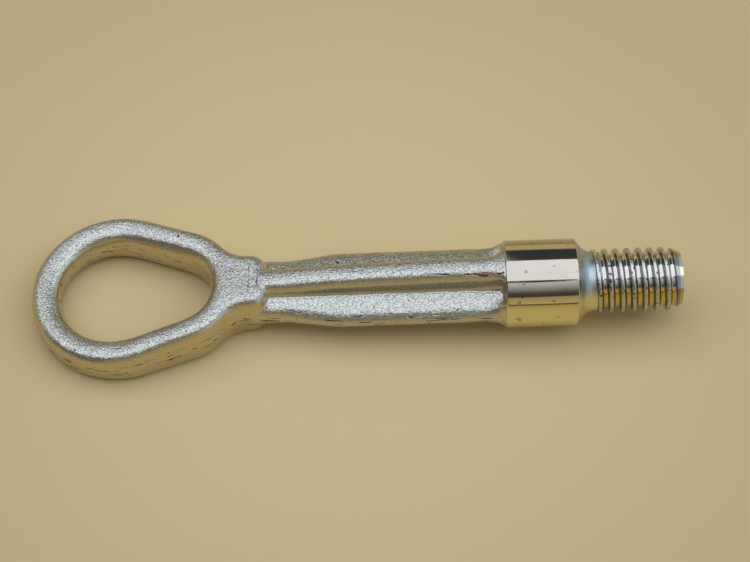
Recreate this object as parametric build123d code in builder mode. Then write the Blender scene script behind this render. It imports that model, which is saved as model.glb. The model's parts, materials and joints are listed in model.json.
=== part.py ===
"""A forged tow eye: closed teardrop eye, wedge neck, four-ribbed shank, turned collar and coarse rolled thread."""
import os
from math import asin, atan, cos, degrees, radians, sin, tan

from build123d import *

# Eye seen from above, in millimetres, along the shank from the centre of its large arc
eye_radius = 24.5
bar_width = 8.6
shoulder_radius = 19.0
shoulder_width = 8.2
throat_distance = 16.0
neck_width = 17.8
neck_blend_radius = 10.0
neck_corner_radius = 5.2
neck_corner_land = 0.1

# Eye seen from the side
tip_height = 10.2
crown_land = 1.0
draft_angle = 5.5

# Ribbed shank, swelling from its waist to its belly
side_rib_embed = 11.2
top_rib_embed = 4.4
waist_length = 3.8
swell_length = 15.0
swell_radius = 20.0
waist_side_reach = 9.3
belly_side_reach = 11.7
waist_drop = 0.35
belly_drop = 0.1
end_drop = 0.9
rib_thickness = 7.6
crest_land = 1.6
flank_land = 0.2

# Flange and turned collar
collar_position = 109.2
collar_diameter = 24.8
collar_length = 20.2
flange_length = 2.4
flange_drop = 1.4
cone_length = 2.9
runout_diameter = 7.2
runout_circle = 21.2
rib_count = 4

# Rolled thread
thread_diameter = 18.2
thread_pitch = 3.2
thread_depth = 1.4
crest_width = 0.9
root_width = 1.2
ridge_embed = 0.4
ridge_lead = 4.3
blank_diameter = 16.6
blank_length = 0.8
runin_length = 1.6
runin_drop = 0.8
thread_end = 159.2
lead_length = 3.6
lead_drop = 1.6

# The part lies on the under side of the eye and on the edge of the collar, above the origin
collar_radius = collar_diameter / 2
crown_position = bar_width / 2 - eye_radius
lie_slope = (collar_radius - tip_height / 2) / (collar_position - crown_position)
lie_angle = atan(lie_slope)
thread_radius = thread_diameter / 2
left_end = -eye_radius * cos(lie_angle)
right_end = thread_end * cos(lie_angle) + (thread_radius - lead_drop) * sin(lie_angle)
eye_level = tip_height / 2 * cos(lie_angle) - crown_position * sin(lie_angle)
forging = Plane(
    origin=(-(left_end + right_end) / 2, 0, eye_level),
    x_dir=(cos(lie_angle), 0, sin(lie_angle)),
    z_dir=(-sin(lie_angle), 0, cos(lie_angle)),
)
side = Plane(forging.origin, x_dir=forging.x_dir, z_dir=-forging.y_dir)
shank_axis = Axis(forging.origin, forging.x_dir)


def along(position):
    """Point on the shank's axis at a distance from the eye's centre."""
    return forging.from_local_coords(Vector(position, 0, 0))


def across(position):
    """Plane square to the shank at a distance from the eye's centre, with its local Y upwards."""
    return Plane(along(position), x_dir=forging.y_dir, z_dir=forging.x_dir)


def half_height(position):
    """Half the height that the part may have, which grows towards the collar so that the part lies flat."""
    return tip_height / 2 + lie_slope * (position - crown_position)


def tangent_point(position, radius, turn):
    """Where a line that falls by a number of degrees touches the upper side of an arc centred on the axis."""
    return (position + radius * sin(radians(turn)), radius * cos(radians(turn)))


# Tangent points of the eye's outline
hole_radius = eye_radius - bar_width
throat_radius = shoulder_radius - shoulder_width
hole_turn = degrees(asin((hole_radius - throat_radius) / throat_distance))
flank_turn = degrees(asin((eye_radius - shoulder_radius) / throat_distance))
blend_level = neck_width / 2 + neck_blend_radius
blend_turn = degrees(asin(blend_level / (shoulder_radius + neck_blend_radius)))
blend_position = throat_distance + blend_level / tan(radians(blend_turn))
neck_end = blend_position + neck_corner_radius + neck_corner_land

# Places along the shank
side_rib_start = neck_end - side_rib_embed
top_rib_start = neck_end - top_rib_embed
swell_position = neck_end + waist_length
belly_position = swell_position + swell_length
flange_position = collar_position - flange_length
collar_end = collar_position + collar_length
blank_radius = blank_diameter / 2
cone_end = collar_end + cone_length
thread_start = cone_end + blank_length

# Upper half of eye and neck, drafted from a bed that is parallel to its crown
bed_drop = swell_position * lie_slope
bed_height = half_height(swell_position) * cos(lie_angle)
draft_run = bed_drop * tan(radians(draft_angle))
draft_loss = bed_height * tan(radians(draft_angle))
rim_radius = (min(bar_width, shoulder_width) - crown_land) / 2 - draft_loss + draft_run
bed = Plane(
    origin=forging.from_local_coords(Vector(0, 0, -bed_drop)),
    x_dir=(cos(2 * lie_angle), 0, sin(2 * lie_angle)),
    z_dir=(-sin(2 * lie_angle), 0, cos(2 * lie_angle)),
)

# Reach of the upper and lower ribs, and rounding of the ribs and of the flutes between them
waist_top_reach = half_height(neck_end) - waist_drop
belly_top_reach = half_height(belly_position) - belly_drop
end_top_reach = half_height(collar_position) - end_drop
rib_radius = (rib_thickness - crest_land) / 2
flute_radius = waist_top_reach - rib_radius - rib_thickness / 2 - flank_land
flute_spacing = rib_thickness + 2 * flute_radius

# Thread ridge, longer than the thread at each end
root_radius = thread_radius - thread_depth
ridge_width = thread_pitch - root_width
foot_width = crest_width + (ridge_width - crest_width) * (1 + ridge_embed / thread_depth)
ridge_start = thread_start - ridge_lead
ridge_length = thread_end + thread_pitch - ridge_start


def rib(plane, start, waist_reach, belly_reach, end_reach):
    """Pair of opposite ribs of even thickness, swelling from waist to belly, with rounded edges."""
    with BuildPart() as pair:
        with BuildSketch(plane) as outline:
            with BuildLine():
                Polyline(
                    (start, 0),
                    (start, waist_reach),
                    (swell_position, waist_reach),
                    (belly_position, belly_reach),
                    (collar_position, end_reach),
                    (collar_position, 0),
                )
                mirror(about=Plane.XZ)
            make_face()
            bends = outline.vertices().filter_by_position(Axis.X, swell_position, belly_position)
            fillet(bends, swell_radius)
        extrude(amount=rib_thickness / 2, both=True)
        ends = pair.faces().sort_by(shank_axis)
        upright = pair.edges().filter_by(Axis(plane.origin, plane.z_dir))
        fillet(pair.edges() - upright - ends[0].edges() - ends[-1].edges(), rib_radius)
    return pair.part


os.makedirs("parts", exist_ok=True)

# Thread: a ridge along a right-handed helix on a plain core, cut to a run-in cone and a lead cone
with BuildPart() as thread:
    with BuildSketch(across(ridge_start - thread_pitch)):
        Circle(root_radius)
    extrude(amount=ridge_length + 2 * thread_pitch)
    with BuildLine() as ridge_path:
        Helix(thread_pitch, ridge_length, thread_radius, center=along(ridge_start), direction=forging.x_dir)
    ridge_foot = ridge_path.line @ 0
    ridge_normal = forging.x_dir.cross(ridge_foot - along(ridge_start))
    with BuildSketch(Plane(ridge_foot, x_dir=forging.x_dir, z_dir=ridge_normal)):
        with BuildLine():
            Polyline(
                (-crest_width / 2, 0),
                (-foot_width / 2, -thread_depth - ridge_embed),
                (foot_width / 2, -thread_depth - ridge_embed),
                (crest_width / 2, 0),
                close=True,
            )
        make_face()
    sweep(path=ridge_path.line, is_frenet=True)
    with BuildSketch(side):
        with BuildLine():
            Polyline(
                (thread_start, 0),
                (thread_start, thread_radius - runin_drop),
                (thread_start + 2 * runin_length, thread_radius + runin_drop),
                (thread_end - 2 * lead_length, thread_radius + lead_drop),
                (thread_end, thread_radius - lead_drop),
                (thread_end, 0),
                close=True,
            )
        make_face()
    revolve(axis=shank_axis, mode=Mode.INTERSECT)

with BuildPart() as tow_eye:
    # Upper half of eye and neck: drafted plan outline with a rounded rim, cut off at the parting plane
    with BuildSketch(bed) as plan:
        with BuildLine():
            Polyline(
                (neck_end, 0),
                (neck_end, neck_width / 2 + draft_run),
                (blend_position, neck_width / 2 + draft_run),
            )
            CenterArc((blend_position, blend_level), neck_blend_radius - draft_run, 270, blend_turn - 90)
            CenterArc((throat_distance, 0), shoulder_radius + draft_run, blend_turn, 90 - flank_turn - blend_turn)
            Line(
                tangent_point(throat_distance, shoulder_radius + draft_run, flank_turn),
                tangent_point(0, eye_radius + draft_run, flank_turn),
            )
            mirror(about=Plane.XZ)
            CenterArc((0, 0), eye_radius + draft_run, 90 - flank_turn, 180 + 2 * flank_turn)
        make_face()
        fillet(plan.vertices().sort_by(Axis.X)[-2:], neck_corner_radius)
    extrude(amount=bed_height, taper=draft_angle)
    with BuildSketch(bed):
        with BuildLine():
            Line(
                tangent_point(throat_distance, throat_radius - draft_run, hole_turn),
                tangent_point(0, hole_radius - draft_run, hole_turn),
            )
            mirror(about=Plane.XZ)
            CenterArc((throat_distance, 0), throat_radius - draft_run, hole_turn - 90, 180 - 2 * hole_turn)
            CenterArc((0, 0), hole_radius - draft_run, 90 - hole_turn, 180 + 2 * hole_turn)
        make_face()
    extrude(amount=bed_height, taper=-draft_angle, mode=Mode.SUBTRACT)
    fillet(tow_eye.faces().sort_by(Axis(bed.origin, bed.z_dir))[-1].edges(), rim_radius)
    split(bisect_by=forging)
    mirror(about=forging)

    # Four ribs, from inside the neck to the collar, on a core that rounds the flutes between them
    add(rib(forging, side_rib_start, waist_side_reach, belly_side_reach, belly_side_reach))
    add(rib(side, top_rib_start, waist_top_reach, belly_top_reach, end_top_reach))
    with BuildSketch(across(top_rib_start)):
        Rectangle(flute_spacing, flute_spacing)
        with GridLocations(flute_spacing, flute_spacing, 2, 2):
            Circle(flute_radius, mode=Mode.SUBTRACT)
    extrude(amount=collar_position - top_rib_start)

    # Flange, collar and the cone behind it, turned about the shank's axis
    with BuildSketch(side):
        with BuildLine():
            Polyline(
                (flange_position, 0),
                (flange_position, collar_radius - flange_drop),
                (collar_position, collar_radius),
                (collar_end, collar_radius),
                (cone_end, blank_radius),
                (thread_start, blank_radius),
                (thread_start, 0),
                close=True,
            )
        make_face()
    revolve(axis=shank_axis)

    # The flutes run out through the flange
    with BuildSketch(across(flange_position)):
        with PolarLocations(runout_circle / 2, rib_count, start_angle=180 / rib_count):
            Circle(runout_diameter / 2)
    extrude(amount=flange_length, mode=Mode.SUBTRACT)

    add(thread.part)
    tow_eye.part.label = "tow_eye"

export_step(tow_eye.part, "parts/tow_eye.step")
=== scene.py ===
"""A drop-forged tow eye with a turned collar and a rolled thread, in yellow-passivated zinc, lying on pale paper."""
import json
import math

import bmesh
import bpy
from bpy.props import FloatProperty, FloatVectorProperty, IntProperty, PointerProperty
from mathutils import Matrix, Vector


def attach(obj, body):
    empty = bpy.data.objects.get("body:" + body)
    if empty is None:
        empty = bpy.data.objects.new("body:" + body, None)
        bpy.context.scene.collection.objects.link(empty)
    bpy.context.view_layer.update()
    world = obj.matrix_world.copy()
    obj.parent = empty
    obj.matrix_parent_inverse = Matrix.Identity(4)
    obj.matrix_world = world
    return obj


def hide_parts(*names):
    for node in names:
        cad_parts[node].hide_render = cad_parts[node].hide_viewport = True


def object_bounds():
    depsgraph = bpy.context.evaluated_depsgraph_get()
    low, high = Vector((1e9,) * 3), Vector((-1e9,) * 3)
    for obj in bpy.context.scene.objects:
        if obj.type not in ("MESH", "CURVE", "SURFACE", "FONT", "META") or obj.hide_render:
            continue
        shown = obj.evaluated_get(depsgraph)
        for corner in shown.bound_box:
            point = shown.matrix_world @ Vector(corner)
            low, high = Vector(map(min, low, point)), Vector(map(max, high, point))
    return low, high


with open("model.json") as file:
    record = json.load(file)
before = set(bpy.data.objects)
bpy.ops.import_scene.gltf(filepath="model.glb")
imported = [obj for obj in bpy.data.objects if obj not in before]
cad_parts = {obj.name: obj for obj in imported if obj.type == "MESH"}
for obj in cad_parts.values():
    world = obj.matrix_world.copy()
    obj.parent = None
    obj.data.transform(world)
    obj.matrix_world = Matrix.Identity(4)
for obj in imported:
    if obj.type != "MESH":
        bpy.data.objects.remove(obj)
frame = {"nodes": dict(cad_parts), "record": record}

bl_info = {
    "name": "Tow Eye",
    "version": (1, 0, 0),
    "blender": (4, 5, 0),
    "location": "View3D > Sidebar > Tow Eye",
    "description": "Models the forging, the turned collar and the rolled thread of a zinc-plated tow eye",
    "category": "Object",
}

# The frame: the eye's centre, the shank's axis and the collar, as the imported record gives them
MM = 0.001
CAD_NODE = "tow_eye"
CAD_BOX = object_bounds()
MOUNTS = {mount["name"]: mount for mount in frame["record"]["mounts"]}
EYE = Vector(MOUNTS["eye"]["pos_m"])
AXIS = Vector(MOUNTS["collar"]["axis"]).normalized()
CROWN = Vector(MOUNTS["eye"]["axis"]).normalized()
COLLAR_RADIUS = MOUNTS["collar"]["dims"]["r_mm"] * MM
COLLAR_LENGTH = MOUNTS["collar"]["dims"]["length_mm"] * MM
COLLAR_START = (Vector(MOUNTS["collar"]["pos_m"]) - EYE).dot(AXIS) - COLLAR_LENGTH / 2
THREAD_END = (Vector(MOUNTS["thread"]["pos_m"]) - EYE).dot(AXIS)
FORGING = Matrix.Translation(EYE) @ Matrix((AXIS, CROWN.cross(AXIS), CROWN)).transposed().to_4x4()
PAPER_LEVEL = CAD_BOX[0].z

# Layout of the nodes in a tree
NODES_IN_ROW = 12
NODE_WIDTH = 200
NODE_HEIGHT = 260


def length(name, description, default):
    """A size in metres that a user may change."""
    return FloatProperty(name=name, description=description, default=default, min=0, precision=5, unit="LENGTH")


def colour(name, description, default):
    """A linear colour that a user may change."""
    return FloatVectorProperty(
        name=name, description=description, default=default, size=3, min=0, max=1, subtype="COLOR"
    )


class TowEyeSizes(bpy.types.PropertyGroup):
    """Sizes of the forging's skin, the turned end and the thread."""

    skin_voxel: length("Skin Voxel", "Size of the forging's faces", 0.42 * MM)
    skin_swell: length("Skin Swell", "Depth of the slow hollows left by the dies", 0.18 * MM)
    skin_lump: length("Skin Lump", "Depth of the small lumps of the forged skin", 0.10 * MM)
    hole_radius: length("Hole Radius", "Radius of the hole's large end", 15.9 * MM)
    throat_radius: length("Throat Radius", "Radius of the hole's small end", 10.8 * MM)
    throat_place: length("Throat Place", "From the eye's centre to the centre of the hole's small end", 16.0 * MM)
    hole_edge: length("Hole Edge", "How far from the hole its edges are rounded off", 6.5 * MM)
    neck_place: length("Neck Place", "From the eye's centre to the end of the neck", 43.3 * MM)
    rib_flank: length("Rib Flank", "From the axis to where the side ribs start to slope", 5.0 * MM)
    rib_slope: FloatProperty(
        name="Rib Slope", description="Fall of the side ribs towards their edges",
        default=math.radians(10), subtype="ANGLE",
    )
    collar_embed: length("Collar Embed", "How far the forging reaches into the collar", 2.0 * MM)
    collar_tuck: length("Collar Tuck", "How far the forging lies below the collar's skin", 0.6 * MM)
    collar_chamfer: length("Collar Chamfer", "Width of the chamfer against the flange", 0.3 * MM)
    collar_bevel: length("Collar Bevel", "Width of the broken edge at the collar's far end", 0.2 * MM)
    cone_length: length("Cone Length", "Length of the cone behind the collar", 2.9 * MM)
    cone_fillet: length("Cone Fillet", "Radius between cone and blank", 5.0 * MM)
    blank_radius: length("Blank Radius", "Radius of the plain blank before the thread", 8.3 * MM)
    blank_length: length("Blank Length", "Length of the plain blank before the thread", 1.5 * MM)
    thread_radius: length("Thread Radius", "Radius over the thread's crests", 9.1 * MM)
    thread_depth: length("Thread Depth", "Depth of the thread", 1.4 * MM)
    thread_pitch: length("Thread Pitch", "Distance from crest to crest", 3.2 * MM)
    thread_lead: length("Thread Lead", "How far before the thread its crest crosses the crown", 5.0 * MM)
    crest_width: length("Crest Width", "Width of the crests before rounding", 0.85 * MM)
    root_width: length("Root Width", "Width of the roots before rounding", 1.2 * MM)
    crest_round: length("Crest Round", "Rounding of the crests", 0.3 * MM)
    root_round: length("Root Round", "Rounding of the roots", 0.36 * MM)
    runin_length: length("Run-in Length", "Length over which the thread grows from the blank", 0.7 * MM)
    runin_drop: length("Run-in Drop", "How far the first turn lies below the crests", 0.8 * MM)
    lead_length: length("Lead Length", "Length of the lead cone at the end", 3.6 * MM)
    lead_drop: length("Lead Drop", "How far the lead cone falls", 1.6 * MM)
    turned_segments: IntProperty(
        name="Turned Segments", description="Faces round the collar", default=160, min=12
    )
    thread_segments: IntProperty(
        name="Thread Segments", description="Faces in each turn of the thread", default=72, min=12
    )


class TowEyeFinish(bpy.types.PropertyGroup):
    """Colours of the plating, of the reflections of the paper that are painted on its under sides, and of the paper.
    """

    zinc: colour("Zinc", "Plain plating", (0.56, 0.55, 0.465))
    straw: colour("Straw", "Yellow cast of the passivation", (0.64, 0.56, 0.37))
    gold: colour("Gold", "Yellow cast of the turned faces", (0.48, 0.43, 0.33))
    # Painted reflection: a bright yellow painted on the under sides of the collar and cone, standing in for the lit
    # paper that they reflect.
    painted_brass_reflection: colour("Brass", "Yellow cast on the under side of the collar and cone", (0.75, 0.69, 0.38))
    # Painted reflection: a deep yellow painted on the thread's under side, standing in for the lit paper that it
    # reflects.
    painted_amber_reflection: colour("Amber", "Deep yellow on the under side of the thread", (0.60, 0.47, 0.16))
    lilac: colour("Lilac", "Violet cast of the passivation", (0.54, 0.48, 0.46))
    sea: colour("Sea", "Green cast of the passivation", (0.52, 0.56, 0.45))
    steel: colour("Steel", "Cool satin cast of the cone behind the collar", (0.39, 0.44, 0.43))
    soot: colour("Soot", "Scale left in pits and seams", (0.03, 0.027, 0.022))
    paper: colour("Paper", "Paper that the part lies on", (0.66, 0.50, 0.24))


class TowEyeStage(bpy.types.PropertyGroup):
    """Camera and light."""

    camera_elevation: FloatProperty(
        name="Camera Elevation", description="Height of the view above the paper",
        default=math.radians(58.353), subtype="ANGLE",
    )
    camera_yaw: FloatProperty(
        name="Camera Yaw", description="Turn of the view towards the eye", default=math.radians(4.737), subtype="ANGLE"
    )
    camera_roll: FloatProperty(
        name="Camera Roll", description="Roll of the view", default=math.radians(3.722), subtype="ANGLE"
    )
    camera_distance: length("Camera Distance", "From the target to the camera", 529.4 * MM)
    camera_target: FloatVectorProperty(
        name="Camera Target", description="Middle of the view", default=(5.33 * MM, 4.03 * MM, 8.0 * MM),
        size=3, subtype="TRANSLATION", unit="LENGTH",
    )
    camera_lens: FloatProperty(name="Camera Lens", description="Focal length in millimetres", default=88.8, min=1)
    lamp_height: length("Lamp Height", "Height of the lamp above the paper", 600 * MM)
    lamp_offset: length("Lamp Offset", "How far the lamp stands behind the part", 44 * MM)
    lamp_depth: length("Lamp Depth", "Size of the lamp from front to back", 614 * MM)
    lamp_width: length("Lamp Width", "Size of the lamp from side to side", 1800 * MM)
    lamp_radiance: FloatProperty(name="Lamp Radiance", description="Brightness of the lamp's face", default=1.5, min=0)
    lamp_colour: FloatVectorProperty(
        name="Lamp Colour", description="Cool cast of the lamp", default=(0.89, 0.96, 1.17),
        size=3, min=0, subtype="COLOR",
    )


def only(piece):
    """Selects one piece and nothing else."""
    bpy.ops.object.select_all(action="DESELECT")
    piece.select_set(True)
    bpy.context.view_layer.objects.active = piece


def apply_modifier(piece, kind, **settings):
    """Adds a modifier to a piece, sets it and applies it."""
    only(piece)
    bpy.ops.object.modifier_add(type=kind)
    modifier = piece.modifiers[-1]
    for name, value in settings.items():
        setattr(modifier, name, value)
    bpy.ops.object.modifier_apply(modifier=modifier.name)


def lay_down(piece):
    """Turns a piece that was modelled along X into the lying part's frame."""
    only(piece)
    piece.matrix_world = FORGING
    bpy.ops.object.transform_apply(location=True, rotation=True, scale=True)


def require_closed(piece):
    """Stops the script if a piece has an open or doubled edge."""
    shell = bmesh.new()
    shell.from_mesh(piece.data)
    open_edges = sum(len(edge.link_faces) != 2 for edge in shell.edges)
    shell.free()
    if open_edges:
        raise RuntimeError(f"{piece.name} has {open_edges} open edges")


def lathe(name, stations, segments):
    """A turned solid about X: a disc that is drawn out and scaled from station to station."""
    bpy.ops.object.select_all(action="DESELECT")
    start, radius = stations[0]
    bpy.ops.mesh.primitive_circle_add(
        vertices=segments, radius=radius, fill_type="NGON", location=(start, 0, 0), rotation=(0, math.pi / 2, 0)
    )
    piece = bpy.context.object
    piece.name = piece.data.name = name
    bpy.ops.object.transform_apply(location=True, rotation=True, scale=True)
    bpy.ops.object.mode_set(mode="EDIT")
    bpy.ops.mesh.select_all(action="SELECT")
    for (last, last_radius), (position, radius) in zip(stations, stations[1:]):
        bpy.ops.mesh.extrude_region_move(TRANSFORM_OT_translate={"value": (position - last, 0, 0)})
        scale = radius / last_radius
        bpy.ops.transform.resize(value=(1, scale, scale), center_override=(position, 0, 0))
    bpy.ops.mesh.select_all(action="SELECT")
    bpy.ops.mesh.normals_make_consistent(inside=False)
    bpy.ops.object.mode_set(mode="OBJECT")
    return piece


def add_node(tree, kind, sockets=None, **settings):
    """Adds a node, sets its options, and gives its sockets values or links."""
    made = tree.nodes.new(kind)
    row, column = divmod(len(tree.nodes), NODES_IN_ROW)
    made.location = (NODE_WIDTH * column, -NODE_HEIGHT * row)
    for name, value in settings.items():
        setattr(made, name, value)
    for key, value in (sockets or {}).items():
        if isinstance(value, bpy.types.NodeSocket):
            tree.links.new(value, made.inputs[key])
        else:
            made.inputs[key].default_value = value
    return made


def maths(tree, operation, first, second=0.0, third=0.0):
    """Result of a Math node."""
    made = add_node(tree, "ShaderNodeMath", {0: first, 1: second, 2: third}, operation=operation)
    return made.outputs[0]


def ramp(tree, factor, *stops):
    """Colour of a ramp with the given stops of place and colour."""
    made = add_node(tree, "ShaderNodeValToRGB", {"Fac": factor})
    elements = made.color_ramp.elements
    while len(elements) < len(stops):
        elements.new(1)
    for element, (place, shade) in zip(elements, stops):
        element.position = place
        element.color = (*shade, 1)
    return made.outputs["Color"]


def step(tree, factor, low, high, start=0.0, end=1.0):
    """Smooth step of a factor from one value to another."""
    made = add_node(
        tree, "ShaderNodeMapRange", {0: factor, 1: low, 2: high, 3: start, 4: end}, interpolation_type="SMOOTHSTEP"
    )
    return made.outputs[0]


def product(tree, first, *others):
    """Product of some factors."""
    for other in others:
        first = maths(tree, "MULTIPLY", first, other)
    return first


def scaled(shade, factor):
    """A colour made lighter or darker."""
    return [channel * factor for channel in shade]


def mix(tree, factor, first, second):
    """Mix of two colours, each of them a socket or a plain colour."""
    first, second = (shade if isinstance(shade, bpy.types.NodeSocket) else (*shade, 1) for shade in (first, second))
    made = add_node(tree, "ShaderNodeMix", {0: factor, 6: first, 7: second}, data_type="RGBA")
    return made.outputs[2]


def noise(tree, vector, scale, detail=2.0, roughness=0.5):
    """Value of a noise texture."""
    made = add_node(
        tree, "ShaderNodeTexNoise", {"Vector": vector, "Scale": scale, "Detail": detail, "Roughness": roughness}
    )
    return made.outputs[0]


def stretched(tree, vector, scale):
    """A vector scaled by its own factor along each axis."""
    return add_node(tree, "ShaderNodeMapping", {"Vector": vector, "Scale": scale}).outputs[0]


def new_material(name):
    """A material with a plain shader: the material, its tree, its shader and the object coordinates."""
    made = bpy.data.materials.new(name)
    made.use_nodes = True
    tree = made.node_tree
    tree.nodes.clear()
    shader = add_node(tree, "ShaderNodeBsdfPrincipled")
    add_node(tree, "ShaderNodeOutputMaterial", {"Surface": shader.outputs[0]})
    place = add_node(tree, "ShaderNodeTexCoord").outputs["Object"]
    return made, tree, shader, place


def shank_place(tree, place):
    """Object coordinates turned into the forging's own frame: along the shank, across it and upwards."""
    turn = FORGING.inverted()
    return add_node(
        tree, "ShaderNodeMapping",
        {"Vector": place, "Location": turn.translation, "Rotation": turn.to_euler()},
    ).outputs[0]


def split(tree, vector):
    """The three parts of a vector."""
    return add_node(tree, "ShaderNodeSeparateXYZ", {0: vector}).outputs


def radius_of(tree, across, crown):
    """Distance from the shank's axis."""
    squared = maths(tree, "MULTIPLY_ADD", crown, crown, maths(tree, "MULTIPLY", across, across))
    return maths(tree, "SQRT", squared)


def near(tree, value, place, reach):
    """One where a value is within a third of a reach from a place, falling to nought at the whole reach."""
    gap = maths(tree, "ABSOLUTE", maths(tree, "SUBTRACT", value, place))
    return step(tree, gap, reach, reach / 3)


def plate(tree, shader, shade, roughness, height, strength, depth):
    """Gives a plated metal its colour, its roughness and its relief."""
    relief = add_node(tree, "ShaderNodeBump", {"Strength": strength, "Distance": depth, "Height": height}).outputs[0]
    shader.inputs["Metallic"].default_value = 1.0
    for name, socket in (("Base Color", shade), ("Roughness", roughness), ("Normal", relief)):
        tree.links.new(socket, shader.inputs[name])


def forging_marks(tree, place, along, across, crown):
    """Dark marks of the forging: trim scores, pits, die lines on the neck and a lap seam on the top rib."""
    first_line, second_line, line_reach = 37.9 * MM, 40.3 * MM, 5.5 * MM
    seam_offset, seam_start, seam_full = 2.45 * MM, 84 * MM, 94 * MM
    waver = noise(tree, place, 350)
    upper = step(tree, crown, 7.2 * MM, 7.7 * MM)

    # Trim scores on the walls beside the parting plane, and pits anywhere
    dashes = noise(tree, stretched(tree, place, (130, 420, 1500)), 1.0)
    wall = step(tree, maths(tree, "ABSOLUTE", crown), 3.2 * MM, 1.8 * MM)
    scores = product(tree, wall, step(tree, dashes, 0.60, 0.66))
    pits = step(tree, noise(tree, place, 480, 1, 0.5), 0.735, 0.79)

    # Two fine, uneven die lines across the end of the neck
    bent = maths(tree, "MULTIPLY_ADD", waver, 0.9 * MM, along)
    lines = maths(tree, "ADD", near(tree, bent, first_line, 0.16 * MM), near(tree, bent, second_line, 0.2 * MM))
    lines = product(tree, lines, step(tree, waver, 0.35, 0.6, 0.3, 0.9), near(tree, across, 0.0, line_reach), upper)

    # A broken lap seam beside the top rib's crest, towards the collar
    drift = maths(tree, "MULTIPLY_ADD", along, 0.05, across)
    drift = maths(tree, "MULTIPLY_ADD", waver, 0.5 * MM, drift)
    breaks = step(tree, noise(tree, place, 260, 1, 0.5), 0.49, 0.53)
    seam = product(
        tree, near(tree, drift, seam_offset, 0.3 * MM), step(tree, along, seam_start, seam_full), breaks, upper
    )
    return maths(tree, "MAXIMUM", maths(tree, "MAXIMUM", scores, pits), maths(tree, "MAXIMUM", lines, seam))


def forged_zinc(finish):
    """Plated drop forging: bright grain on struck faces, smoother and yellower walls, faint tints and dark marks."""
    made, tree, shader, place = new_material("forged_zinc")
    place = shank_place(tree, place)
    along, across, crown = split(tree, place)
    dark = forging_marks(tree, place, along, across, crown)

    # Grain and specks lie on the faces that the dies struck
    normal = add_node(tree, "ShaderNodeTexCoord").outputs["Normal"]
    facing = add_node(tree, "ShaderNodeVectorMath", {0: normal, 1: CROWN}, operation="DOT_PRODUCT").outputs["Value"]
    facing = maths(tree, "ABSOLUTE", facing)
    struck = step(tree, facing, 0.66, 0.9)
    grain = product(tree, noise(tree, place, 1700, 2, 0.6), step(tree, struck, 0.0, 1.0, 0.3, 1.0))
    height = maths(tree, "MULTIPLY_ADD", dark, -0.5, grain)
    specks = step(tree, noise(tree, place, 2200, 1, 0.5), 0.56, 0.36)
    specks = product(tree, specks, step(tree, struck, 0.0, 1.0, 0.12, 0.5))

    # The walls are yellow, most of all round the eye
    yellow = product(tree, step(tree, facing, 0.75, 0.3), step(tree, along, 40 * MM, 55 * MM, 1.0, 0.4))
    plating = ramp(
        tree, noise(tree, place, 80, 3, 0.55),
        (0.30, finish.sea), (0.44, finish.zinc), (0.58, finish.zinc), (0.72, finish.lilac),
    )
    plating = mix(tree, yellow, plating, finish.straw)
    plating = mix(tree, specks, plating, finish.soot)
    shade = mix(tree, maths(tree, "MULTIPLY", dark, 0.85), plating, finish.soot)
    roughness = step(tree, noise(tree, place, 2600, 2, 0.6), 0.3, 0.7, 0.22, 0.40)
    plate(tree, shader, shade, roughness, height, 1.0, 0.22 * MM)
    return made


def turned_zinc(finish):
    """Plated turned steel: fine lathe lines, a bright yellow under side painted as a reflection of the lit paper,
    small dings, and a cool satin cone.
    """
    made, tree, shader, place = new_material("turned_zinc")
    place = shank_place(tree, place)
    along, across, crown = split(tree, place)
    # The under side is painted bright yellow as a painted reflection of the lit paper below.
    painted_reflection_underside = step(tree, maths(tree, "DIVIDE", crown, radius_of(tree, across, crown)), 0.68, 0.45)
    lines = noise(tree, stretched(tree, place, (5000, 60, 60)), 1.0, 2, 0.6)
    dings = step(tree, noise(tree, place, 420, 2, 0.6), 0.64, 0.70)
    height = maths(tree, "MULTIPLY_ADD", dings, -2.0, lines)
    plating = ramp(tree, noise(tree, place, 90), (0.36, finish.gold), (0.60, scaled(finish.gold, 1.06)))
    plating = mix(tree, painted_reflection_underside, plating, finish.painted_brass_reflection)
    shade = mix(tree, maths(tree, "MULTIPLY", dings, 0.45), plating, finish.soot)
    gloss = step(tree, lines, 0.3, 0.7, 0.05, 0.10)

    # The cone starts at the collar's end; its under side gets the same painted reflection of the paper.
    collar_end = COLLAR_START + COLLAR_LENGTH
    satin = step(tree, along, collar_end + 0.2 * MM, collar_end + 0.8 * MM)
    shade = mix(tree, satin, shade, mix(tree, painted_reflection_underside, finish.steel, finish.painted_brass_reflection))
    roughness = maths(tree, "MULTIPLY_ADD", satin, 0.3, gloss)
    plate(tree, shader, shade, roughness, height, 0.3, 0.02 * MM)
    return made


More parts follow.
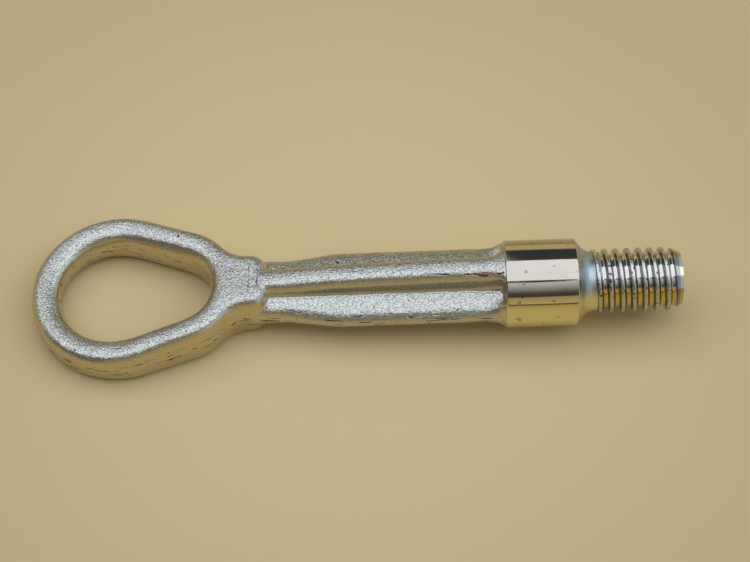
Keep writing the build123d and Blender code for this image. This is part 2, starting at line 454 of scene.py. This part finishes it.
def rolled_zinc(finish, sizes):
    """Plated rolled thread: bright roots, lilac above and a deep yellow painted reflection of the paper below, flanks
    painted dark as painted shade, and pale crests with specks.
    """
    made, tree, shader, place = new_material("rolled_zinc")
    place = shank_place(tree, place)
    _, across, crown = split(tree, place)
    radius = radius_of(tree, across, crown)
    waver = noise(tree, place, 260)
    level = maths(tree, "MULTIPLY_ADD", waver, 0.2 * MM, radius)
    root_radius = sizes.thread_radius - sizes.thread_depth
    crest = step(tree, level, sizes.thread_radius - 0.35 * MM, sizes.thread_radius - 0.05 * MM)
    root = step(tree, level, root_radius + 0.45 * MM, root_radius + 0.2 * MM)
    # The under side is painted deep yellow as a painted reflection of the lit paper below.
    painted_reflection_underside = step(tree, maths(tree, "DIVIDE", crown, radius), 0.68, 0.55)
    plating = ramp(tree, waver, (0.4, finish.lilac), (0.6, finish.zinc))
    plating = mix(tree, painted_reflection_underside, plating, finish.painted_amber_reflection)
    # Painted shade: the flanks between the roots and the crests are painted at half the zinc's brightness.
    plating = mix(tree, root, scaled(finish.zinc, 0.5), plating)
    plating = mix(tree, crest, plating, finish.zinc)
    grain = product(tree, noise(tree, place, 1300), crest)
    specks = product(tree, crest, step(tree, noise(tree, place, 1000), 0.58, 0.66))
    height = maths(tree, "MULTIPLY_ADD", specks, -1.0, grain)
    shade = mix(tree, maths(tree, "MULTIPLY", specks, 0.85), plating, finish.soot)
    roughness = step(tree, crest, 0.0, 1.0, 0.09, 0.26)
    plate(tree, shader, shade, roughness, height, 0.5, 0.05 * MM)
    return made


class TOWEYE_OT_forging(bpy.types.Operator):
    """Makes the forged eye, neck, ribs and flange from a copy of the CAD solid, with a forged skin"""

    bl_idname = "tow_eye.forging"
    bl_label = "Forging"
    bl_options = {"REGISTER", "UNDO"}

    def execute(self, context):
        sizes, finish = context.scene.tow_eye_sizes, context.scene.tow_eye_finish
        piece = bpy.data.objects.new("tow_eye_forging", frame["nodes"][CAD_NODE].data.copy())
        context.scene.collection.objects.link(piece)
        piece.data.materials.clear()
        only(piece)
        bpy.ops.object.mode_set(mode="EDIT")
        bpy.ops.mesh.select_all(action="SELECT")
        bpy.ops.mesh.remove_doubles(threshold=0.001 * MM)
        bpy.ops.mesh.bisect(
            plane_co=EYE + AXIS * (COLLAR_START + sizes.collar_embed), plane_no=AXIS, use_fill=True, clear_outer=True
        )
        bpy.ops.object.mode_set(mode="OBJECT")
        apply_modifier(piece, "REMESH", mode="VOXEL", voxel_size=sizes.skin_voxel, use_smooth_shade=True)
        self.slope_ribs(piece, sizes)
        apply_modifier(piece, "SMOOTH", factor=0.5, iterations=5)
        shank_middle, flange_foot = (sizes.neck_place + COLLAR_START) / 2, COLLAR_START - 3 * MM
        hole_rounds = 200
        for place, reach, rounds in (
            (shank_middle, 40 * MM, 14), (sizes.neck_place, 6 * MM, 10), (flange_foot, 6 * MM, 90)
        ):
            self.soften(piece, rounds, lambda along, across: 2 * (1 - abs(along - place) / reach))
        self.soften(
            piece, hole_rounds, lambda along, across: 2 * (1 - self.hole_gap(sizes, along, across) / sizes.hole_edge)
        )
        for name, spread, depth in (
            ("die_hollows", 7 * MM, sizes.skin_swell), ("skin_lumps", 1.6 * MM, sizes.skin_lump)
        ):
            hollows = bpy.data.textures.new(name, "CLOUDS")
            hollows.noise_scale = spread
            apply_modifier(piece, "DISPLACE", texture=hollows, texture_coords="LOCAL", strength=depth, mid_level=0.5)
        self.tuck(piece, sizes)
        self.keep_in_box(piece)
        piece.data.materials.append(forged_zinc(finish))
        require_closed(piece)
        return {"FINISHED"}

    def slope_ribs(self, piece, sizes):
        """Lets the side ribs thin towards their edges, as ribs leave a die, but not at their two ends."""
        neck_fade, flange_fade, flange_start, edge_height = 6 * MM, 3 * MM, COLLAR_START - 2 * MM, 3 * MM
        to_forging = FORGING.inverted()
        for vertex in piece.data.vertices:
            along, across, crown = to_forging @ vertex.co
            ends = min((along - sizes.neck_place) / neck_fade, (flange_start - along) / flange_fade)
            fall = max(0, abs(across) - sizes.rib_flank) * math.tan(sizes.rib_slope) * min(1, max(0, ends))
            share = min(1, abs(crown) / edge_height)
            vertex.co = FORGING @ Vector((along, across, crown - math.copysign(fall * share, crown)))

    def soften(self, piece, rounds, weigh):
        """Smooths the skin where a weight is above nought, given the place along the shank and across it."""
        group = piece.vertex_groups.new(name="soft")
        to_forging = FORGING.inverted()
        for vertex in piece.data.vertices:
            weight = weigh(*(to_forging @ vertex.co).xy)
            if weight > 0:
                group.add([vertex.index], min(1, weight), "REPLACE")
        apply_modifier(piece, "SMOOTH", factor=0.5, iterations=rounds, vertex_group=group.name)
        piece.vertex_groups.clear()

    def hole_gap(self, sizes, along, across):
        """Distance from the wall of the eye's hole, which narrows from its large end to its small end."""
        share = min(1, max(0, along / sizes.throat_place))
        radius = sizes.hole_radius + (sizes.throat_radius - sizes.hole_radius) * share
        return math.hypot(along - share * sizes.throat_place, across) - radius

    def tuck(self, piece, sizes):
        """Draws the stub of the forging in below the skin of the collar that covers it."""
        full_depth = 0.3 * MM
        for vertex in piece.data.vertices:
            past = (vertex.co - EYE).dot(AXIS) - COLLAR_START
            spoke = vertex.co - EYE - AXIS * (past + COLLAR_START)
            spare = spoke.length - COLLAR_RADIUS + sizes.collar_tuck * min(1, past / full_depth)
            if past > 0 and spare > 0:
                vertex.co -= spoke.normalized() * spare

    def keep_in_box(self, piece):
        """Lays the skin's highest lumps flat against the CAD solid's box."""
        low, high = CAD_BOX
        for vertex in piece.data.vertices:
            vertex.co = [min(max(value, floor), top) for value, floor, top in zip(vertex.co, low, high)]


class TOWEYE_OT_turned_end(bpy.types.Operator):
    """Turns the collar, the cone behind it and the plain blank"""

    bl_idname = "tow_eye.turned_end"
    bl_label = "Turned End"
    bl_options = {"REGISTER", "UNDO"}

    def execute(self, context):
        sizes, finish = context.scene.tow_eye_sizes, context.scene.tow_eye_finish
        cone_end = COLLAR_START + COLLAR_LENGTH + sizes.cone_length
        stations = [
            (COLLAR_START, COLLAR_RADIUS - sizes.collar_chamfer),
            (COLLAR_START + sizes.collar_chamfer, COLLAR_RADIUS),
            (COLLAR_START + COLLAR_LENGTH, COLLAR_RADIUS),
        ]
        turn = math.atan2(COLLAR_RADIUS - sizes.blank_radius, sizes.cone_length)
        reach = sizes.cone_fillet * math.tan(turn / 2)
        fillet_steps = 8
        for count in range(fillet_steps + 1):
            angle = turn * (1 - count / fillet_steps)
            stations.append((
                cone_end + reach - sizes.cone_fillet * math.sin(angle),
                sizes.blank_radius + sizes.cone_fillet * (1 - math.cos(angle)),
            ))
        stations.append((cone_end + reach + sizes.blank_length, sizes.blank_radius))
        piece = lathe("collar", stations, sizes.turned_segments)
        apply_modifier(
            piece, "BEVEL", width=sizes.collar_bevel, segments=3, limit_method="ANGLE", angle_limit=math.radians(25)
        )
        piece.data.materials.append(turned_zinc(finish))
        lay_down(piece)
        bpy.ops.object.shade_smooth_by_angle(angle=math.radians(35))
        require_closed(piece)
        return {"FINISHED"}


class TOWEYE_OT_thread(bpy.types.Operator):
    """Winds the rounded thread profile along the axis and cuts it to its run-in and lead cones"""

    bl_idname = "tow_eye.thread"
    bl_label = "Thread"
    bl_options = {"REGISTER", "UNDO"}

    def execute(self, context):
        sizes, finish = context.scene.tow_eye_sizes, context.scene.tow_eye_finish
        start = COLLAR_START + COLLAR_LENGTH + sizes.cone_length + sizes.blank_length
        piece = self.wind(sizes, start - sizes.thread_lead - 0.75 * sizes.thread_pitch)
        core, face = sizes.thread_radius - 2 * sizes.thread_depth, start - 0.1 * MM
        cutter = lathe(
            "thread_envelope",
            [
                (start - sizes.blank_length / 2, core),
                (face, core),
                (face, sizes.thread_radius - sizes.runin_drop),
                (start + 2 * sizes.runin_length, sizes.thread_radius + sizes.runin_drop),
                (THREAD_END - 2 * sizes.lead_length, sizes.thread_radius + sizes.lead_drop),
                (THREAD_END, sizes.thread_radius - sizes.lead_drop),
            ],
            2 * sizes.thread_segments,
        )
        apply_modifier(piece, "BOOLEAN", operation="INTERSECT", object=cutter, solver="EXACT")
        bpy.data.objects.remove(cutter)
        piece.data.materials.append(rolled_zinc(finish, sizes))
        lay_down(piece)
        bpy.ops.object.shade_smooth_by_angle(angle=math.radians(40))
        require_closed(piece)
        return {"FINISHED"}

    def wind(self, sizes, start):
        """Closed solid with the thread's profile, longer than the thread by some turns at each end."""
        root = sizes.thread_radius - sizes.thread_depth
        flank = (sizes.thread_pitch - sizes.crest_width - sizes.root_width) / 2
        steps = (
            (sizes.root_width / 2, 0, 0),
            (flank, sizes.thread_depth, 0),
            (sizes.crest_width, 0, 0),
            (flank, -sizes.thread_depth, 0),
            (sizes.root_width / 2, 0, 0),
        )
        bpy.ops.object.select_all(action="DESELECT")
        bpy.ops.mesh.primitive_plane_add(size=sizes.root_width, location=(start, root, 0))
        piece = bpy.context.object
        piece.name = piece.data.name = "thread"
        bpy.ops.object.transform_apply(location=True, rotation=True, scale=True)
        bpy.ops.object.mode_set(mode="EDIT")
        bpy.ops.mesh.select_all(action="SELECT")
        bpy.ops.mesh.merge(type="CENTER")
        for offset in steps:
            bpy.ops.mesh.extrude_vertices_move(TRANSFORM_OT_translate={"value": offset})
        crest = sizes.thread_radius - sizes.thread_depth / 2
        ends = (start, start + sizes.thread_pitch)
        self.select_points(piece, lambda point: point.y > crest)
        bpy.ops.mesh.bevel(affect="VERTICES", offset=sizes.crest_round, segments=5)
        slack = 0.01 * MM
        self.select_points(
            piece, lambda point: point.y < root + slack and min(abs(point.x - place) for place in ends) > slack
        )
        bpy.ops.mesh.bevel(affect="VERTICES", offset=sizes.root_round, segments=3)
        bpy.ops.object.mode_set(mode="OBJECT")
        turns = math.ceil((THREAD_END - start) / sizes.thread_pitch) + 2
        apply_modifier(
            piece, "SCREW", axis="X", angle=math.tau, screw_offset=sizes.thread_pitch, iterations=turns,
            steps=sizes.thread_segments, render_steps=sizes.thread_segments, use_normal_calculate=True,
        )
        bpy.ops.object.mode_set(mode="EDIT")
        bpy.ops.mesh.select_all(action="SELECT")
        bpy.ops.mesh.remove_doubles(threshold=0.001 * MM)
        middle = start + turns / 2 * sizes.thread_pitch
        for way in (-1, 1):
            self.select_rim(piece, lambda point: (point.x - middle) * way > 0)
            bpy.ops.mesh.extrude_edges_move(
                TRANSFORM_OT_translate={"value": (way * 2 * sizes.thread_pitch, 0, 0)}
            )
            bpy.ops.mesh.merge(type="CENTER")
        bpy.ops.mesh.select_all(action="SELECT")
        bpy.ops.mesh.normals_make_consistent(inside=False)
        bpy.ops.object.mode_set(mode="OBJECT")
        return piece

    def select_points(self, piece, wanted):
        """Selects the points of a profile that are wanted."""
        shell = bmesh.from_edit_mesh(piece.data)
        for point in shell.verts:
            point.select_set(wanted(point.co))
        bmesh.update_edit_mesh(piece.data)

    def select_rim(self, piece, wanted):
        """Selects the open edges whose middle is wanted."""
        bpy.ops.mesh.select_all(action="DESELECT")
        shell = bmesh.from_edit_mesh(piece.data)
        for edge in shell.edges:
            if edge.is_boundary and wanted((edge.verts[0].co + edge.verts[1].co) / 2):
                edge.select_set(True)
        bmesh.update_edit_mesh(piece.data)


class TOWEYE_OT_assemble(bpy.types.Operator):
    """Welds forging, turned end and thread into the one solid piece, which stands for the CAD solid"""

    bl_idname = "tow_eye.assemble"
    bl_label = "Assemble"
    bl_options = {"REGISTER", "UNDO"}

    def execute(self, context):
        piece = bpy.data.objects["tow_eye_forging"]
        for name in ("collar", "thread"):
            part = bpy.data.objects[name]
            apply_modifier(
                piece, "BOOLEAN", operation="UNION", object=part, solver="MANIFOLD", material_mode="TRANSFER"
            )
            bpy.data.objects.remove(part)
        require_closed(piece)
        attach(piece, "root")
        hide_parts(CAD_NODE)
        return {"FINISHED"}


class TOWEYE_OT_stage(bpy.types.Operator):
    """Sets the paper, the soft lamp, the surrounding room and the camera"""

    bl_idname = "tow_eye.stage"
    bl_label = "Stage"
    bl_options = {"REGISTER", "UNDO"}

    def execute(self, context):
        stage, finish = context.scene.tow_eye_stage, context.scene.tow_eye_finish
        self.lay_paper(finish)
        self.hang_lamp(stage)
        self.set_room(context.scene)
        self.set_camera(context.scene, stage)
        context.scene.view_settings.view_transform = "Standard"
        return {"FINISHED"}

    def lay_paper(self, finish):
        """A wide sheet of pale paper with a faint fibre and an uneven tone, painted darker away from the middle as a
        painted fall-off of the lamp's light.
        """
        bpy.ops.object.select_all(action="DESELECT")
        bpy.ops.mesh.primitive_plane_add(size=8, location=(0, 0, PAPER_LEVEL))
        paper = bpy.context.object
        paper.name = "paper"
        bpy.ops.object.transform_apply(location=True, rotation=True, scale=True)
        made, tree, shader, place = new_material("pale_paper")
        fibre = noise(tree, place, 900, 3, 0.6)
        cloud = noise(tree, place, 14)
        reach = add_node(tree, "ShaderNodeVectorMath", {0: place}, operation="LENGTH").outputs["Value"]
        # Painted shade: the paper's colour falls to 0.86 of its own between 20 mm and 160 mm from the middle, a
        # painted fall-off of light; the cloud adds a faint uneven tone.
        level = maths(tree, "MULTIPLY_ADD", cloud, 0.1, step(tree, reach, 160 * MM, 20 * MM))
        shade = ramp(tree, level, (0.05, scaled(finish.paper, 0.86)), (1.0, finish.paper))
        tree.links.new(shade, shader.inputs["Base Color"])
        bump = add_node(tree, "ShaderNodeBump", {"Strength": 0.08, "Distance": 0.1 * MM, "Height": fibre})
        tree.links.new(bump.outputs[0], shader.inputs["Normal"])
        shader.inputs["Roughness"].default_value = 0.85
        shader.inputs["Specular IOR Level"].default_value = 0.2
        paper.data.materials.append(made)

    def hang_lamp(self, stage):
        """One large soft lamp overhead, a little behind the part."""
        bpy.ops.object.light_add(type="AREA", location=(0, stage.lamp_offset, stage.lamp_height))
        lamp = bpy.context.object
        lamp.name = "soft_lamp"
        lamp.data.shape = "RECTANGLE"
        lamp.data.size = stage.lamp_width
        lamp.data.size_y = stage.lamp_depth
        lamp.data.energy = stage.lamp_radiance * math.pi * stage.lamp_width * stage.lamp_depth
        lamp.data.color = stage.lamp_colour

    def set_room(self, scene):
        """A room: brown near the paper, dusk behind but for a soft pane, grey in front, a pale wall at the right."""
        world = bpy.data.worlds.new("room")
        scene.world = world
        world.use_nodes = True
        tree = world.node_tree
        tree.nodes.clear()
        way = add_node(tree, "ShaderNodeTexCoord").outputs["Generated"]
        right, behind, height = split(tree, way)
        dusk = (0.055, 0.07, 0.08)
        back = ramp(tree, height, (0.0, (0.78, 0.62, 0.34)), (0.34, (0.74, 0.59, 0.32)), (0.40, dusk))
        pane = ramp(
            tree, height,
            (0.0, (0.40, 0.32, 0.18)), (0.40, (0.34, 0.30, 0.22)), (0.60, (0.50, 0.52, 0.56)),
            (0.85, (1.15, 1.22, 1.36)), (0.87, dusk),
        )
        back = mix(tree, product(tree, step(tree, right, -0.06, -0.2), step(tree, right, -0.62, -0.42)), back, pane)
        front = ramp(
            tree, height,
            (0.0, (0.05, 0.04, 0.03)), (0.03, (0.05, 0.04, 0.03)), (0.05, (0.56, 0.45, 0.25)),
            (0.36, (0.54, 0.43, 0.24)), (0.39, (0.06, 0.055, 0.05)), (0.55, (0.13, 0.125, 0.12)),
            (0.70, (0.45, 0.46, 0.50)), (0.865, (0.88, 0.92, 1.0)), (0.88, (0.03, 0.03, 0.03)),
        )
        front = mix(tree, step(tree, right, -0.2, -0.45), front, (0.16, 0.15, 0.14))
        wall = ramp(
            tree, height,
            (0.0, (0.37, 0.33, 0.27)), (0.10, (0.57, 0.69, 0.79)), (0.75, (0.57, 0.69, 0.79)), (0.85, (0.1, 0.1, 0.1)),
        )
        room = mix(tree, step(tree, behind, -0.1, 0.1), front, back)
        room = mix(tree, step(tree, right, 0.5, 0.7), room, wall)
        sky = add_node(tree, "ShaderNodeBackground", {"Color": room, "Strength": 1.0})
        add_node(tree, "ShaderNodeOutputWorld", {"Surface": sky.outputs[0]})

    def set_camera(self, scene, stage):
        """A long lens at the height and turn of the photograph."""
        yaw, elevation, roll = stage.camera_yaw, stage.camera_elevation, stage.camera_roll
        back = Vector((
            -math.sin(yaw) * math.cos(elevation), -math.cos(yaw) * math.cos(elevation), math.sin(elevation)
        ))
        level = Vector((math.cos(yaw), -math.sin(yaw), 0))
        upright = back.cross(level)
        right = math.cos(roll) * level + math.sin(roll) * upright
        up = math.cos(roll) * upright - math.sin(roll) * level
        bpy.ops.object.camera_add()
        camera = bpy.context.object
        camera.name = "camera"
        camera.data.lens = stage.camera_lens
        camera.data.clip_start = 10 * MM
        place = Vector(stage.camera_target) + back * stage.camera_distance
        camera.matrix_world = Matrix.Translation(place) @ Matrix((right, up, back)).transposed().to_4x4()
        scene.camera = camera


class TOWEYE_PT_panel(bpy.types.Panel):
    """Lists the steps that make the tow eye, and its sizes and colours"""

    bl_idname = "TOWEYE_PT_panel"
    bl_label = "Tow Eye"
    bl_space_type = "VIEW_3D"
    bl_region_type = "UI"
    bl_category = "Tow Eye"

    def draw(self, context):
        column = self.layout.column(align=True)
        for operator in OPERATORS:
            column.operator(operator.bl_idname)
        for group in (context.scene.tow_eye_sizes, context.scene.tow_eye_finish, context.scene.tow_eye_stage):
            box = self.layout.box()
            for name in group.__annotations__:
                box.prop(group, name)


GROUPS = {"tow_eye_sizes": TowEyeSizes, "tow_eye_finish": TowEyeFinish, "tow_eye_stage": TowEyeStage}
OPERATORS = (
    TOWEYE_OT_forging, TOWEYE_OT_turned_end, TOWEYE_OT_thread, TOWEYE_OT_assemble, TOWEYE_OT_stage
)
CLASSES = (*GROUPS.values(), *OPERATORS, TOWEYE_PT_panel)


def register():
    """Registers the classes and gives the scene its settings."""
    for made in CLASSES:
        bpy.utils.register_class(made)
    for name, group in GROUPS.items():
        setattr(bpy.types.Scene, name, PointerProperty(type=group))


def unregister():
    """Takes the settings and the classes out again."""
    for name in GROUPS:
        delattr(bpy.types.Scene, name)
    for made in reversed(CLASSES):
        bpy.utils.unregister_class(made)


def main():
    """Makes the part and its stage."""
    register()
    bpy.ops.tow_eye.forging()
    bpy.ops.tow_eye.turned_end()
    bpy.ops.tow_eye.thread()
    bpy.ops.tow_eye.assemble()
    bpy.ops.tow_eye.stage()


if __name__ == "__main__":
    main()
